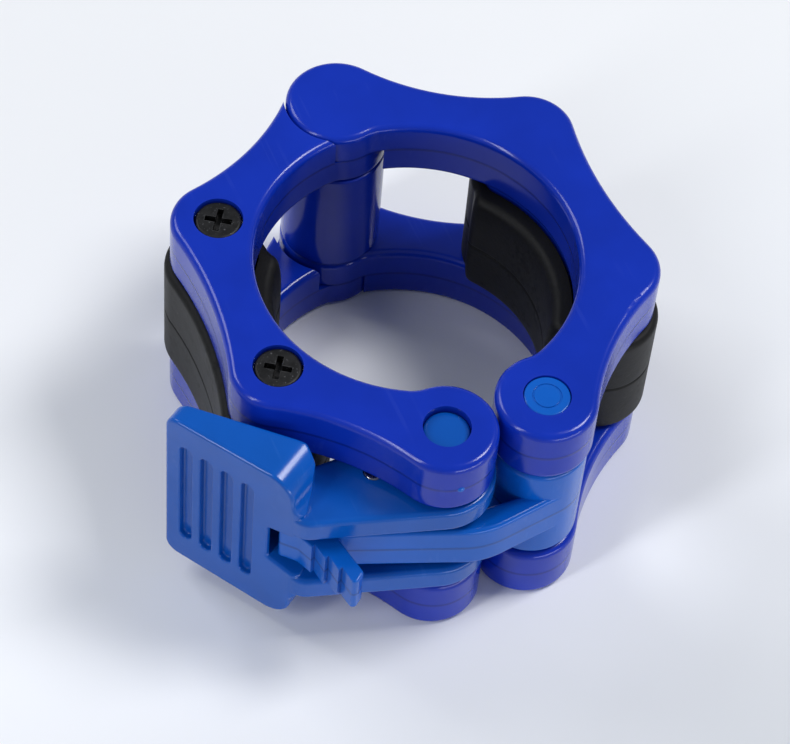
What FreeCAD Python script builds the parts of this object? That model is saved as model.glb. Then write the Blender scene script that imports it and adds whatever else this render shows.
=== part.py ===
import FreeCAD, Part
import math
import os

# Two-jaw barbell collar for a 50 mm sleeve, closed.
# Row frame: origin at the middle of the bore, +Z along the bore, the rear hinge at +Y,
# the over-centre latch at -Y. The lever jaw lies at -X, the link jaw at +X.
# Both jaws are the same two mouldings: the second is the first turned half a turn about Y.
# Lengths in millimetres, angles in degrees.

V = FreeCAD.Vector
ORIGIN = V(0, 0, 0)
UP = V(0, 0, 1)
overrun = 2.0                   # how far a cutting tool runs past the face it opens
running_gap = 0.08              # radial clearance of every pin that turns in its hole
face_gap = 0.1                  # air between two flat faces that slide on each other

# Jaw rims: two flat rings joined by a web, seen from above as a scalloped half ring
bore_radius = 27.0
rim_thickness = 11.75
rim_spacing = 23.5              # free height between the two rims
rim_edge_round = 1.3
bore_blend_radius = 6.0         # soft step between the bore wall and a pivot lobe
lap_share = 0.5                 # share of a rim's thickness taken by each half of the hinge lap

# Closure lobes, one on each jaw, and the rear hinge lobe
pivot_side = 8.75
pivot_depth = 33.45
closure_lobe_radius = 8.5
pivot_hole_radius = 3.93
hinge_depth = 35.2
hinge_lobe_radius = 8.9
hinge_seam = 0.35               # open line round the neighbour's hinge lobe
hinge_lug_clearance = 1.3       # deeper cut that clears the neighbour's inner lug

# Screw bosses and the scallops between them
near_screw_radius = 32.55
near_screw_angle = 66.1         # from the closure line
far_screw_radius = 33.55
far_screw_angle = 122.8
boss_radius = 8.0
closure_scallop_radius = 45.0
side_scallop_radius = 65.0
hinge_scallop_radius = 40.0

# Side plate screws: cross-head, sunk in a counterbore
screw_head_radius = 3.95
screw_head_height = 2.6
screw_head_round = 0.6
screw_head_sink = 0.45
screw_head_clearance = 0.2
screw_thread_radius = 2.0
screw_thread_bite = 0.15        # the thread cuts this far into the post
screw_shank_clearance = 0.35
screw_engagement = 13.0
screw_tip_room = 1.0
cross_length = 4.6
cross_width = 1.05
cross_depth = 1.5

# Rubber grip: a closed sleeve round the web and its two screw posts
grip_radius = 25.0              # bore of the sleeve that the collar is closed on
grip_wall = 2.6
strap_wall = 2.0
strap_proud = 1.0               # the strap stands this far outside the rims
grip_corner_radius = 4.5
grip_fit = 0.1
grip_edge_round = 0.8

# Hinge pin and the spacer tube between the rims
hinge_pin_radius = 2.5
hinge_pin_cover = 2.2           # blind end of the pin hole under the rim's face
hinge_pin_chamfer = 0.4
spacer_radius = 8.8
spacer_end_round = 0.4

# Lever: thumb plate, two cheeks, hub and its two journals in the lever jaw
cheek_clearance = 0.35          # from the hub's face to the rim
cheek_inner = 6.2
hub_radius = 8.9
hub_shaft_radius = 3.0
lever_top_sink = 1.3
lever_bottom_sink = 4.0
lever_journal_round = 0.5
cheek_back_radius = 1.2
cheek_front_radius = 4.0        # bend from the plate's face into the cheek's front edge
cheek_front_setback = 1.4
cheek_edge_round = 1.0
plate_foot_side = 33.794
plate_foot_depth = 35.866
plate_slope = -55.5             # the plate's front face runs this way from its free edge
plate_length = 27.2
plate_tip_thickness = 3.5
plate_root_thickness = 8.8
plate_shoulder_reach = 2.2      # these three are measured back from the end of the face
plate_root_reach = 5.7
plate_heel_reach = 3.0
plate_heel_thickness = 7.4
plate_half_width = 20.0
plate_tip_half_width = 19.5
plate_neck_half_width = 11.2
plate_corner_radius = 2.6
plate_shoulder_radius = 4.9
plate_neck_radius = 3.6
plate_edge_round = 0.9
plate_face_round = 0.6          # all round the front face
plate_foot_radius = 1.6
groove_first = 4.1
groove_pitch = 4.0              # as many grooves as have room before the notch
groove_last_gap = 4.2           # at least this far from the last groove's middle to the notch
groove_width = 2.3
groove_half_length = 13.3
groove_depth = 1.2
groove_lip_round = 0.35
notch_lead = 4.95               # the notch opens so far before the place of the tab's knee
notch_start_radius = 0.7
notch_half_width = 4.3
notch_mouth_half_width = 6.1
notch_clearance = 0.35
notch_lip_round = 0.7
notch_lip = 1.4                 # plate left over the notch's undercut

# Link pin through the cheeks
pin_side = 19.4
pin_depth = 30.1
link_pin_radius = 1.7
link_pin_sink = 0.05
link_pin_chamfer = 0.25

# Link: barrel and journals in the link jaw, bent arm, eye and ribbed release tab
barrel_radius = 8.0
link_top_sink = 0.25
link_bottom_sink = 0.8
link_bottom_bore = 2.4
link_bottom_bore_depth = 6.0
link_journal_round = 0.3
link_ring_radius = 2.3          # a fine ring moulded in the journal's top
link_ring_width = 0.35
link_ring_depth = 0.15
arm_half_width = 4.75
arm_edge_round = 0.8
arm_tip_radius = 1.0
arm_corner_radius = 3.0
arm_hub_clearance = 2.5
arm_thickness = 4.75            # under the lever's hub shaft
arm_belly_side = 4.5
arm_belly_radius = 14.0
tab_half_width = 4.0
tab_foot_side = 36.0
tab_foot_depth = 30.7
tab_knee_side = 33.35
tab_knee_depth = 33.2
tab_knee_radius = 2.0
tab_length = 12.9               # from the knee to the tip
tab_slope = -66.0
tab_tip_thickness = 2.7
tab_root_side = 27.5
tab_root_depth = 35.7
tab_root_thickness = 4.3
tab_edge_round = 0.8
eye_wall = 1.3
eye_slot_reach = 1.9            # the pin wanders this far towards the tab as the lever opens
eye_slot_drop = 0.6             # and this far outwards,
eye_slot_return = 1.9           # then this far back past its start
eye_slot_rise = 0.5             # and inwards
eye_hole_clearance = 0.3
rib_count = 3
rib_pitch = 3.05
rib_depth = 0.8
rib_first = 3.9

# Places worked out from the sizes
half_gap = rim_spacing / 2
half_height = half_gap + rim_thickness
lap_height = half_gap + rim_thickness * (1 - lap_share)
plate_shoulder = plate_length - plate_shoulder_reach
plate_root_length = plate_length - plate_root_reach
plate_heel_length = plate_length - plate_heel_reach


def polar(radius, angle):
    """A plan point at this angle from the closure line, on the link jaw's side."""
    turn = math.radians(angle)
    return V(radius * math.sin(turn), -radius * math.cos(turn), 0)


HINGE = V(0, hinge_depth, 0)
LINK_PIVOT = V(pivot_side, -pivot_depth, 0)
LEVER_PIVOT = V(-pivot_side, -pivot_depth, 0)
LINK_PIN = V(-pin_side, -pin_depth, 0)
TAB_KNEE = V(-tab_knee_side, -tab_knee_depth, 0)
NEAR_SCREW = polar(near_screw_radius, near_screw_angle)
FAR_SCREW = polar(far_screw_radius, far_screw_angle)


# Outline helpers

def crossing(centre_1, reach_1, centre_2, reach_2, side):
    """The point at the two given distances from two centres, left (1) or right (-1) of their line."""
    line = centre_2 - centre_1
    gap = line.Length
    along = (reach_1 ** 2 - reach_2 ** 2 + gap ** 2) / (2 * gap)
    off = math.sqrt(reach_1 ** 2 - along ** 2)
    across = V(-line.y, line.x, 0)
    return centre_1 + line * (along / gap) + across * (side * off / gap)


def tangent_point(point, centre, radius, side):
    """Where the straight line from a point touches a circle, left (1) or right (-1) of its centre."""
    reach = math.sqrt((centre - point).Length ** 2 - radius ** 2)
    return crossing(point, reach, centre, radius, side)


def touch(circle_1, circle_2):
    """Where two tangent circles meet: outside one another, or one inside the other."""
    centre_1, radius_1 = circle_1
    centre_2, radius_2 = circle_2
    if radius_1 * radius_2 < 0:
        share = abs(radius_1) / (abs(radius_1) + abs(radius_2))
        return centre_1 + (centre_2 - centre_1) * share
    big, small = (circle_1, circle_2) if abs(radius_1) > abs(radius_2) else (circle_2, circle_1)
    ray = small[0] - big[0]
    return big[0] + ray * (abs(big[1]) / ray.Length)


def arc_between(start, end, centre, convex):
    """The arc about centre from start to end, counter-clockwise where the outline is convex."""
    angle_1 = math.atan2(start.y - centre.y, start.x - centre.x)
    angle_2 = math.atan2(end.y - centre.y, end.x - centre.x)
    sweep = (angle_2 - angle_1) % (2 * math.pi)
    if not convex:
        sweep -= 2 * math.pi
    radius = (start - centre).Length
    middle = angle_1 + sweep / 2
    through = centre + V(radius * math.cos(middle), radius * math.sin(middle), 0)
    return Part.Arc(start, through, end).toShape()


def tangent_arcs(circles):
    """A closed face edged by arcs of tangent circles; a negative radius is a hollow stretch."""
    joints = [touch(circles[i - 1], circles[i]) for i in range(len(circles))]
    edges = []
    for i, (centre, radius) in enumerate(circles):
        end = joints[(i + 1) % len(circles)]
        edges.append(arc_between(joints[i], end, centre, radius > 0))
    return Part.Face(Part.Wire(edges))


def belt(circles):
    """A closed face whose edge runs like a belt, counter-clockwise round the given circles."""
    contacts = []
    for i, (centre, radius) in enumerate(circles):
        next_centre, next_radius = circles[(i + 1) % len(circles)]
        line = next_centre - centre
        lean = math.acos((radius - next_radius) / line.Length)
        heading = math.atan2(line.y, line.x) - lean
        normal = V(math.cos(heading), math.sin(heading), 0)
        contacts.append((centre + normal * radius, next_centre + normal * next_radius))
    edges = []
    for i, (centre, radius) in enumerate(circles):
        arrive = contacts[i - 1][1]
        leave, away = contacts[i]
        edges.append(arc_between(arrive, leave, centre, True))
        edges.append(Part.LineSegment(leave, away).toShape())
    return Part.Face(Part.Wire(edges))


def rounded_polygon(corners):
    """A closed face through corners (point, radius), each corner rounded by a tangent arc."""
    cuts = []
    for i, (point, radius) in enumerate(corners):
        before = corners[i - 1][0] - point
        after = corners[(i + 1) % len(corners)][0] - point
        opening = before.getAngle(after)
        reach = radius / math.tan(opening / 2)
        bisector = before.normalize() + after.normalize()
        middle = bisector.normalize() * (radius / math.sin(opening / 2) - radius)
        cuts.append((point + before * reach, point + middle, point + after * reach))
    edges = []
    for i, (enter, through, leave) in enumerate(cuts):
        edges.append(Part.Arc(enter, through, leave).toShape())
        edges.append(Part.LineSegment(leave, cuts[(i + 1) % len(cuts)][0]).toShape())
    return Part.Face(Part.Wire(edges))


def slab(face, low, high):
    """A flat outline made solid between two heights."""
    body = face.extrude(UP * (high - low))
    body.translate(UP * low)
    return body


def rod(centre, radius, low, high):
    """An upright cylinder."""
    return Part.makeCylinder(radius, high - low, centre + UP * low, UP)


def rounded(solid, radius, wanted):
    """The solid with the wanted edges rounded."""
    return solid.makeFillet(radius, [edge for edge in solid.Edges if wanted(edge)])


def is_level(edge):
    """True for an edge that lies flat, at one height."""
    return edge.BoundBox.ZLength < face_gap / 100


# Jaw outlines

def rim_outline():
    """The scalloped half ring of the link jaw with its closure lobe, bosses and hinge lobe."""
    closure = closure_lobe_radius + closure_scallop_radius
    scallop_1 = crossing(LINK_PIVOT, closure, NEAR_SCREW, boss_radius + closure_scallop_radius, -1)
    side = boss_radius + side_scallop_radius
    scallop_2 = crossing(NEAR_SCREW, side, FAR_SCREW, side, -1)
    last = hinge_lobe_radius + hinge_scallop_radius
    scallop_3 = crossing(FAR_SCREW, boss_radius + hinge_scallop_radius, HINGE, last, -1)
    inset = bore_radius - bore_blend_radius
    blend_1 = crossing(ORIGIN, inset, HINGE, hinge_lobe_radius + bore_blend_radius, -1)
    blend_2 = crossing(ORIGIN, inset, LINK_PIVOT, closure_lobe_radius + bore_blend_radius, 1)
    return tangent_arcs([
        (LINK_PIVOT, closure_lobe_radius),
        (scallop_1, -closure_scallop_radius),
        (NEAR_SCREW, boss_radius),
        (scallop_2, -side_scallop_radius),
        (FAR_SCREW, boss_radius),
        (scallop_3, -hinge_scallop_radius),
        (HINGE, hinge_lobe_radius),
        (blend_1, -bore_blend_radius),
        (ORIGIN, -bore_radius),
        (blend_2, -bore_blend_radius),
    ])


def sleeve_outline(inset, inner_radius):
    """The rubber sleeve's outline, or the web's when drawn inset by the rubber's wall."""
    end_radius = boss_radius + strap_proud - inset
    corner = grip_corner_radius - inset
    hollow = side_scallop_radius - strap_proud + inset
    scallop = crossing(NEAR_SCREW, end_radius + hollow, FAR_SCREW, end_radius + hollow, -1)
    far_corner = crossing(ORIGIN, inner_radius + corner, FAR_SCREW, end_radius - corner, 1)
    near_corner = crossing(ORIGIN, inner_radius + corner, NEAR_SCREW, end_radius - corner, -1)
    return tangent_arcs([
        (NEAR_SCREW, end_radius),
        (scallop, -hollow),
        (FAR_SCREW, end_radius),
        (far_corner, corner),
        (ORIGIN, -inner_radius),
        (near_corner, corner),
    ])


RIM = rim_outline()
CORE = sleeve_outline(strap_wall, grip_radius + grip_wall)


def rim(low, high):
    """One rim of the link jaw, rounded along both faces, with its journal hole."""
    ring = rounded(slab(RIM, low, high), rim_edge_round, is_level)
    return ring.cut(rod(LINK_PIVOT, pivot_hole_radius, low - overrun, high + overrun))


def jaw_frame():
    """Upper rim, web and screw posts in one moulding; its hinge lobe is the outer half lap."""
    frame = rim(half_gap, half_height)
    frame = frame.fuse(slab(CORE, -half_gap, half_gap + rim_edge_round))
    lug_room = hinge_lobe_radius + hinge_lug_clearance
    frame = frame.cut(rod(HINGE, lug_room, half_gap - overrun, lap_height + face_gap / 2))
    pin_end = half_height - hinge_pin_cover + face_gap
    frame = frame.cut(rod(HINGE, hinge_pin_radius + running_gap, half_gap, pin_end))
    pilot = screw_thread_radius - screw_thread_bite
    for post in (NEAR_SCREW, FAR_SCREW):
        depth = screw_engagement + screw_tip_room - half_gap
        frame = frame.cut(rod(post, pilot, -half_gap - overrun, depth))
    return frame.removeSplitter()


def side_plate():
    """Lower rim, screwed to the posts; its hinge lug is the inner half lap."""
    plate = rim(-half_height, -half_gap)
    seam = hinge_lobe_radius + hinge_seam
    plate = plate.cut(rod(HINGE, seam, -half_height - overrun, face_gap / 2 - lap_height))
    plate = plate.cut(rod(HINGE, hinge_pin_radius + running_gap, -half_height, overrun - half_gap))
    seat = screw_head_height + screw_head_sink - half_height
    for post in (NEAR_SCREW, FAR_SCREW):
        head_room = screw_head_radius + screw_head_clearance
        plate = plate.cut(rod(post, head_room, -half_height - overrun, seat))
        shank_room = screw_thread_radius + screw_shank_clearance
        plate = plate.cut(rod(post, shank_room, seat - overrun, overrun - half_gap))
    return plate.removeSplitter()


def screw(post):
    """A cross-head screw, its head down, standing in the side plate and the post."""
    face = screw_head_sink - half_height
    seat = face + screw_head_height
    head = rod(post, screw_head_radius, face, seat)
    head = rounded(head, screw_head_round,
                   lambda edge: is_level(edge) and edge.BoundBox.ZMin < seat - face_gap)
    for turn in (0, 90):
        slot = Part.makeBox(cross_length, cross_width, cross_depth * 2)
        slot.translate(V(-cross_length / 2, -cross_width / 2, -cross_depth))
        slot.rotate(ORIGIN, UP, turn + far_screw_angle)
        slot.translate(post + UP * face)
        head = head.cut(slot)
    return head.fuse(rod(post, screw_thread_radius, seat, screw_engagement - half_gap)).removeSplitter()


def grip_pad():
    """The rubber sleeve, open at both faces, its grip face on the sleeve's own radius."""
    height = half_gap - grip_fit
    outside = rounded(slab(sleeve_outline(0, grip_radius), -height, height), grip_edge_round, is_level)
    inside = sleeve_outline(strap_wall - grip_fit, grip_radius + grip_wall - grip_fit)
    return outside.cut(slab(inside, -half_height, half_height))


def other_jaw(solid):
    """The same moulding as it stands in the lever jaw: half a turn about Y."""
    return solid.rotated(ORIGIN, V(0, 1, 0), 180)


# Rear hinge

def hinge_pin():
    """Steel pin, captive between the two blind holes."""
    end = half_height - hinge_pin_cover
    pin = rod(HINGE, hinge_pin_radius, -end, end)
    return pin.makeChamfer(hinge_pin_chamfer, [edge for edge in pin.Edges if is_level(edge)])


def hinge_spacer():
    """Tube on the pin that keeps the two inner lugs apart."""
    end = half_gap - face_gap / 2
    tube = rounded(rod(HINGE, spacer_radius, -end, end), spacer_end_round, is_level)
    return tube.cut(rod(HINGE, hinge_pin_radius + running_gap, -half_height, half_height))


# Lever

ALONG = V(math.cos(math.radians(plate_slope)), math.sin(math.radians(plate_slope)), 0)
OUTWARD = ALONG.cross(UP)
PLATE_TIP = V(-plate_foot_side, -plate_foot_depth, 0) - ALONG * plate_length
NOTCH_START = (TAB_KNEE - PLATE_TIP).dot(ALONG) - notch_lead
GROOVE_COUNT = 1 + math.floor((NOTCH_START - groove_last_gap - groove_first) / groove_pitch)


def plate_point(along, depth):
    """A plan point on the thumb plate: so far from its free edge, so deep behind its face."""
    return PLATE_TIP + ALONG * along - OUTWARD * depth


def on_plate(solid):
    """A solid drawn with x along the plate, y across it and z out of its face, put in place."""
    turn = FreeCAD.Rotation(ALONG, UP, OUTWARD, "XYZ")
    placed = solid.copy()
    placed.Placement = FreeCAD.Placement(PLATE_TIP, turn).multiply(solid.Placement)
    return placed


def plate_shape():
    """The outline of the thumb plate seen square on, with shoulders down to the neck."""
    edge = [
        (V(0, -plate_tip_half_width, 0), plate_corner_radius),
        (V(plate_shoulder, -plate_half_width, 0), plate_shoulder_radius),
        (V(plate_shoulder, -plate_neck_half_width, 0), plate_neck_radius),
        (V(plate_length + plate_neck_radius, -plate_neck_half_width, 0), cheek_edge_round),
    ]
    mirrored = [(V(point.x, -point.y, 0), radius) for point, radius in reversed(edge)]
    return rounded_polygon(edge + mirrored)


def on_face(edge):
    """True for an edge in the plane of the plate's front face."""
    return all(abs((vertex.Point - PLATE_TIP).dot(OUTWARD)) < face_gap / 100 for vertex in edge.Vertexes)


def is_face_edge(edge):
    """True for an edge round the plate's front face, all but the one where it bends into its foot."""
    start = min((vertex.Point - PLATE_TIP).dot(ALONG) for vertex in edge.Vertexes)
    return on_face(edge) and start < plate_heel_length


def thumb_plate():
    """A wedge, thin at its free edge, cut to the plate's outline and softly rounded."""
    wedge = rounded_polygon([
        (plate_point(-plate_tip_thickness, 0), plate_edge_round),
        (plate_point(0, plate_tip_thickness), plate_edge_round),
        (plate_point(plate_root_length, plate_root_thickness), plate_edge_round),
        (plate_point(plate_heel_length, plate_heel_thickness), plate_edge_round),
        (plate_point(plate_length, 0), plate_foot_radius),
    ][::-1])
    wedge = slab(wedge, -half_height, half_height)
    prism = on_plate(slab(plate_shape(), -plate_root_thickness * 2, plate_tip_thickness))
    plate = wedge.common(prism)
    return rounded(plate, plate_face_round, is_face_edge)


def groove(along, width, half_length, depth):
    """A finger groove across the plate with rounded ends."""
    end = half_length - width / 2
    ends = [(V(along, -end, 0), width / 2), (V(along, end, 0), width / 2)]
    return on_plate(slab(belt(ends), -depth, depth))


def lies_on_plate(edge, low, high, half_width):
    """True for an edge parallel to the plate's face, between two places along it and near its middle."""
    places = [vertex.Point - PLATE_TIP for vertex in edge.Vertexes]
    depths = [place.dot(OUTWARD) for place in places]
    level = max(depths) - min(depths) < face_gap / 100
    inside = all(low < place.dot(ALONG) < high and abs(place.z) < half_width for place in places)
    return level and inside and min(depths) > -groove_depth * 2


def is_groove_edge(edge):
    """True for the lip and the floor edge of a finger groove."""
    last = groove_first + (GROOVE_COUNT - 1) * groove_pitch
    return lies_on_plate(edge, groove_first - groove_width, last + groove_width, groove_half_length)


def is_notch_edge(edge):
    """True for the notch's edge in the plate's front face."""
    return on_face(edge) and lies_on_plate(edge, NOTCH_START - notch_clearance, plate_length, cheek_inner)


def notch_mouth():
    """The notch seen square on to the plate, widening straight to the plate's foot and past it."""
    end = plate_length * 2 - NOTCH_START
    end_half_width = notch_mouth_half_width * 2 - notch_half_width
    return rounded_polygon([
        (V(NOTCH_START, -notch_half_width, 0), notch_start_radius),
        (V(end, -end_half_width, 0), notch_start_radius),
        (V(end, end_half_width, 0), notch_start_radius),
        (V(NOTCH_START, notch_half_width, 0), notch_start_radius),
    ])


def notch_room(depth, swing_radius):
    """Room for the tab behind the notch's lip, from this depth and out to this swing about the pin."""
    start = NOTCH_START - notch_half_width * 2
    corners = [(start, -1), (plate_length * 2, -1), (plate_length * 2, 1), (start, 1)]
    outline = rounded_polygon([(V(x, side * notch_half_width, 0), notch_clearance) for x, side in corners])
    sweep = rod(LINK_PIN, swing_radius, -notch_half_width, notch_half_width)
    return on_plate(slab(outline, -plate_length, -depth)).common(sweep)


def grooved_plate():
    """The thumb plate with its notch and finger grooves, all softly rounded."""
    solid = thumb_plate().cut(on_plate(slab(notch_mouth(), -plate_length, plate_length)))
    solid = rounded(solid, notch_lip_round, is_notch_edge)
    swing = (tab_point(0, 0) - LINK_PIN).Length + notch_clearance
    solid = solid.cut(notch_room(0, swing)).cut(notch_room(notch_lip, swing + eye_slot_return))
    for index in range(GROOVE_COUNT):
        place = groove_first + index * groove_pitch
        solid = solid.cut(groove(place, groove_width, groove_half_length, groove_depth))
    return rounded(solid, groove_lip_round, is_groove_edge)


def cheek(low, high):
    """One side wall of the lever, from the hub past the link pin to the thumb plate."""
    outline = belt([
        (LEVER_PIVOT, hub_radius),
        (plate_point(plate_root_length, plate_root_thickness - cheek_back_radius), cheek_back_radius),
        (plate_point(plate_length - cheek_front_setback, cheek_front_radius), cheek_front_radius),
    ])
    return rounded(slab(outline, low, high), cheek_edge_round, is_level)


def lever():
    """Thumb plate, both cheeks, hub shaft and journals in one moulding."""
    outer = half_gap - cheek_clearance
    solid = grooved_plate()
    for low, high in ((-outer, -cheek_inner), (cheek_inner, outer)):
        solid = solid.fuse(cheek(low, high))
    solid = solid.fuse(rod(LEVER_PIVOT, hub_shaft_radius, -outer, outer))
    journal = pivot_hole_radius - running_gap
    top = half_height - lever_top_sink
    bottom = lever_bottom_sink - half_height
    solid = solid.fuse(rounded(rod(LEVER_PIVOT, journal, bottom, top), lever_journal_round, is_level))
    solid = solid.cut(rod(LINK_PIN, link_pin_radius + running_gap, -half_gap, half_gap))
    return solid.removeSplitter()


def link_pin():
    """Steel pin across the two cheeks."""
    end = half_gap - cheek_clearance - link_pin_sink
    pin = rod(LINK_PIN, link_pin_radius, -end, end)
    return pin.makeChamfer(link_pin_chamfer, [edge for edge in pin.Edges if is_level(edge)])


# Link

def tab_point(along, depth):
    """A plan point on the release tab: so far from its tip, so deep behind its ribbed face."""
    lean = math.radians(tab_slope)
    heading = V(-math.cos(lean), -math.sin(lean), 0)
    tip = TAB_KNEE - heading * tab_length
    return tip + heading * along + V(heading.y, -heading.x, 0) * depth


def eye_hole():
    """The link's eye, opened where the pin wanders as the lever turns."""
    radius = link_pin_radius + eye_hole_clearance
    return belt([
        (LINK_PIN + V(eye_slot_return, eye_slot_rise, 0), radius),
        (LINK_PIN + V(-eye_slot_reach, -eye_slot_drop, 0), radius),
    ])


def link_arm():
    """The bent arm from the barrel, under the lever's hub shaft, to the eye."""
    under_hub = -pivot_depth - hub_shaft_radius - arm_hub_clearance
    belly = V(-arm_belly_side, under_hub - arm_thickness, 0)
    beside_hub = -pin_side + eye_slot_return + link_pin_radius + eye_hole_clearance + eye_wall
    eye_top = eye_wall - pin_depth + eye_slot_rise + link_pin_radius
    return rounded_polygon([
        (V(-tab_root_side - arm_edge_round, eye_top - arm_edge_round, 0), arm_corner_radius),
        (V(beside_hub, eye_top, 0), arm_corner_radius),
        (V(beside_hub, under_hub, 0), hub_shaft_radius + arm_hub_clearance),
        (V(pivot_side + barrel_radius / 2, under_hub, 0), arm_tip_radius),
        (tangent_point(belly, LINK_PIVOT, barrel_radius, -1), arm_tip_radius),
        (belly, arm_belly_radius),
        (V(-tab_root_side, -tab_root_depth, 0), arm_tip_radius),
    ])


def release_tab():
    """The tab past the eye: ribbed thumb face, blunt tip and a foot inside the lever's notch."""
    return rounded_polygon([
        (V(-tab_foot_side, -tab_foot_depth, 0), tab_edge_round),
        (V(-tab_foot_side + tab_root_thickness / 2, -tab_foot_depth + tab_tip_thickness, 0), tab_edge_round),
        (V(-tab_root_side, -pin_depth + link_pin_radius, 0), tab_edge_round),
        (V(-tab_root_side + arm_edge_round, -tab_root_depth + arm_edge_round, 0), tab_edge_round),
        (V(-tab_root_side, -tab_root_depth, 0), tab_edge_round),
        (tab_point(tab_edge_round, tab_tip_thickness), tab_edge_round),
        (tab_point(0, 0), tab_edge_round),
        (TAB_KNEE, tab_knee_radius),
    ])


def rib_step(along):
    """A saw-tooth cut across the tab's face, deepest against the ledge at this place."""
    fade = along - rib_pitch
    step = [tab_point(along, -rib_depth), tab_point(along, rib_depth), tab_point(fade, 0),
            tab_point(fade, -rib_depth)]
    edge = Part.makePolygon(step + step[:1])
    return slab(Part.Face(edge), -half_gap, half_gap)


def link():
    """Barrel, journals, arm, eye and tab in one moulding."""
    outer = half_gap - cheek_clearance
    barrel = rounded(rod(LINK_PIVOT, barrel_radius, -outer, outer), cheek_edge_round, is_level)
    arm = rounded(slab(link_arm(), -arm_half_width, arm_half_width), arm_edge_round, is_level)
    tab = rounded(slab(release_tab(), -tab_half_width, tab_half_width), tab_edge_round / 2, is_level)
    for index in range(rib_count):
        tab = tab.cut(rib_step(rib_first + index * rib_pitch))
    top = half_height - link_top_sink
    journal = rod(LINK_PIVOT, pivot_hole_radius - running_gap, link_bottom_sink - half_height, top)
    journal = rounded(journal, link_journal_round, is_level)
    solid = barrel.fuse(arm).fuse(tab).fuse(journal)
    solid = solid.cut(slab(eye_hole(), -half_gap, half_gap))
    bore_top = link_bottom_bore_depth - half_height
    solid = solid.cut(rod(LINK_PIVOT, link_bottom_bore, -half_height, bore_top))
    ring = rod(LINK_PIVOT, link_ring_radius + link_ring_width / 2, top - link_ring_depth, half_height)
    ring = ring.cut(rod(LINK_PIVOT, link_ring_radius - link_ring_width / 2, 0, half_height))
    return solid.cut(ring).removeSplitter()


# Assembly: every piece in its place in the row frame

screws = Part.makeCompound([screw(NEAR_SCREW), screw(FAR_SCREW)])
frame = jaw_frame()
plate = side_plate()
pad = grip_pad()

NODES = {
    "link_jaw_frame": frame,
    "link_jaw_side_plate": plate,
    "link_jaw_screws": screws,
    "link_jaw_grip_pad": pad,
    "lever_jaw_frame": other_jaw(frame),
    "lever_jaw_side_plate": other_jaw(plate),
    "lever_jaw_screws": other_jaw(screws),
    "lever_jaw_grip_pad": other_jaw(pad),
    "hinge_pin": hinge_pin(),
    "hinge_spacer": hinge_spacer(),
    "lever": lever(),
    "link_pin": link_pin(),
    "latch_link": link(),
}

os.makedirs("parts", exist_ok=True)
for name, shape in NODES.items():
    shape.exportStep("parts/" + name + ".step")
    box = shape.BoundBox
    print(name, "solids", len(shape.Solids), "valid", shape.isValid(), "volume %.1f" % shape.Volume)
    print("  x %.2f %.2f" % (box.XMin, box.XMax), "y %.2f %.2f" % (box.YMin, box.YMax))
    print("  z %.2f %.2f" % (box.ZMin, box.ZMax))
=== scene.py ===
# %% [markdown]
# # A barbell collar, dressed round its frame
# The object is a clamping collar for the sleeve of a barbell: two royal blue plastic jaws
# hinged at the back, black rubber grips looped through them, and a lighter blue over-centre
# latch at the front. The frame already holds every rigid piece at its real size, so this file
# gives each of them its finish and models what is soft, worn or moulded in by the factory.

# %% Load the frame
import math

import bpy
import numpy as np
from mathutils import Matrix, Vector


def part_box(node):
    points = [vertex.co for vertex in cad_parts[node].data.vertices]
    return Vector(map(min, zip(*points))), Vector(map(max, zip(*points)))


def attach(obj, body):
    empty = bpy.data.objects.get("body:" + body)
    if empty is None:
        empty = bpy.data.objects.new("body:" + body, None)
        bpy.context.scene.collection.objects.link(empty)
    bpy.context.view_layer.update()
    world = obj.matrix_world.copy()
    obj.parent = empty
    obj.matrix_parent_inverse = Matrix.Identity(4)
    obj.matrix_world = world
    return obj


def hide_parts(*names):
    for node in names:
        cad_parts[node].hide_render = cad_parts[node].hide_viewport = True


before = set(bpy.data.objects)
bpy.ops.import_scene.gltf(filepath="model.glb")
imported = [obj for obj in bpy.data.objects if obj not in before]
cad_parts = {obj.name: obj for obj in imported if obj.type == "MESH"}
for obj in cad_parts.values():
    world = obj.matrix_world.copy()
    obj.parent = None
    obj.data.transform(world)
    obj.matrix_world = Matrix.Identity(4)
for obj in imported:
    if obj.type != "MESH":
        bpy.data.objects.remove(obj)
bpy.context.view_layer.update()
mm = 0.001

# %% [markdown]
# ## Measures taken from the frame
# Everything that is added here sits on something the frame holds. How high the grips and the rims
# reach is read from the boxes of those pieces. Two plans are drawn anew, from the same centres and
# radii that the frame is built on: that of the rubber grips, round the two screw posts of a jaw and
# the bore, and that of the lobe which carries a small bead.

# %% Read the sizes that the new pieces depend on
grip_low, grip_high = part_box("link_jaw_grip_pad")
rim_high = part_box("link_jaw_frame")[1]
grip_half = (grip_high.z - grip_low.z) / 2
rim_top = rim_high.z
print("grip height %.1f mm, collar height %.1f mm" % (2 * grip_half / mm, 2 * rim_top / mm))

# %% [markdown]
# ## Small tools for meshes
# A surface here is a grid of points worked out as whole arrays. One helper lists the faces of such
# a grid, closed round in one or both directions, and another makes the object and smooths its
# shading.

# %% Turn a grid of points into a mesh object


def grid_faces(rows, columns, closed_rows, closed_columns):
    """Four corners of every cell of a grid, wrapping round in the directions that are closed."""
    down = np.arange(rows if closed_rows else rows - 1)
    across = np.arange(columns if closed_columns else columns - 1)
    i, j = (a.ravel() for a in np.meshgrid(down, across, indexing="ij"))
    i_next, j_next = (i + 1) % rows, (j + 1) % columns
    return np.stack([i * columns + j, i * columns + j_next,
                     i_next * columns + j_next, i_next * columns + j], axis=1)


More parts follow.
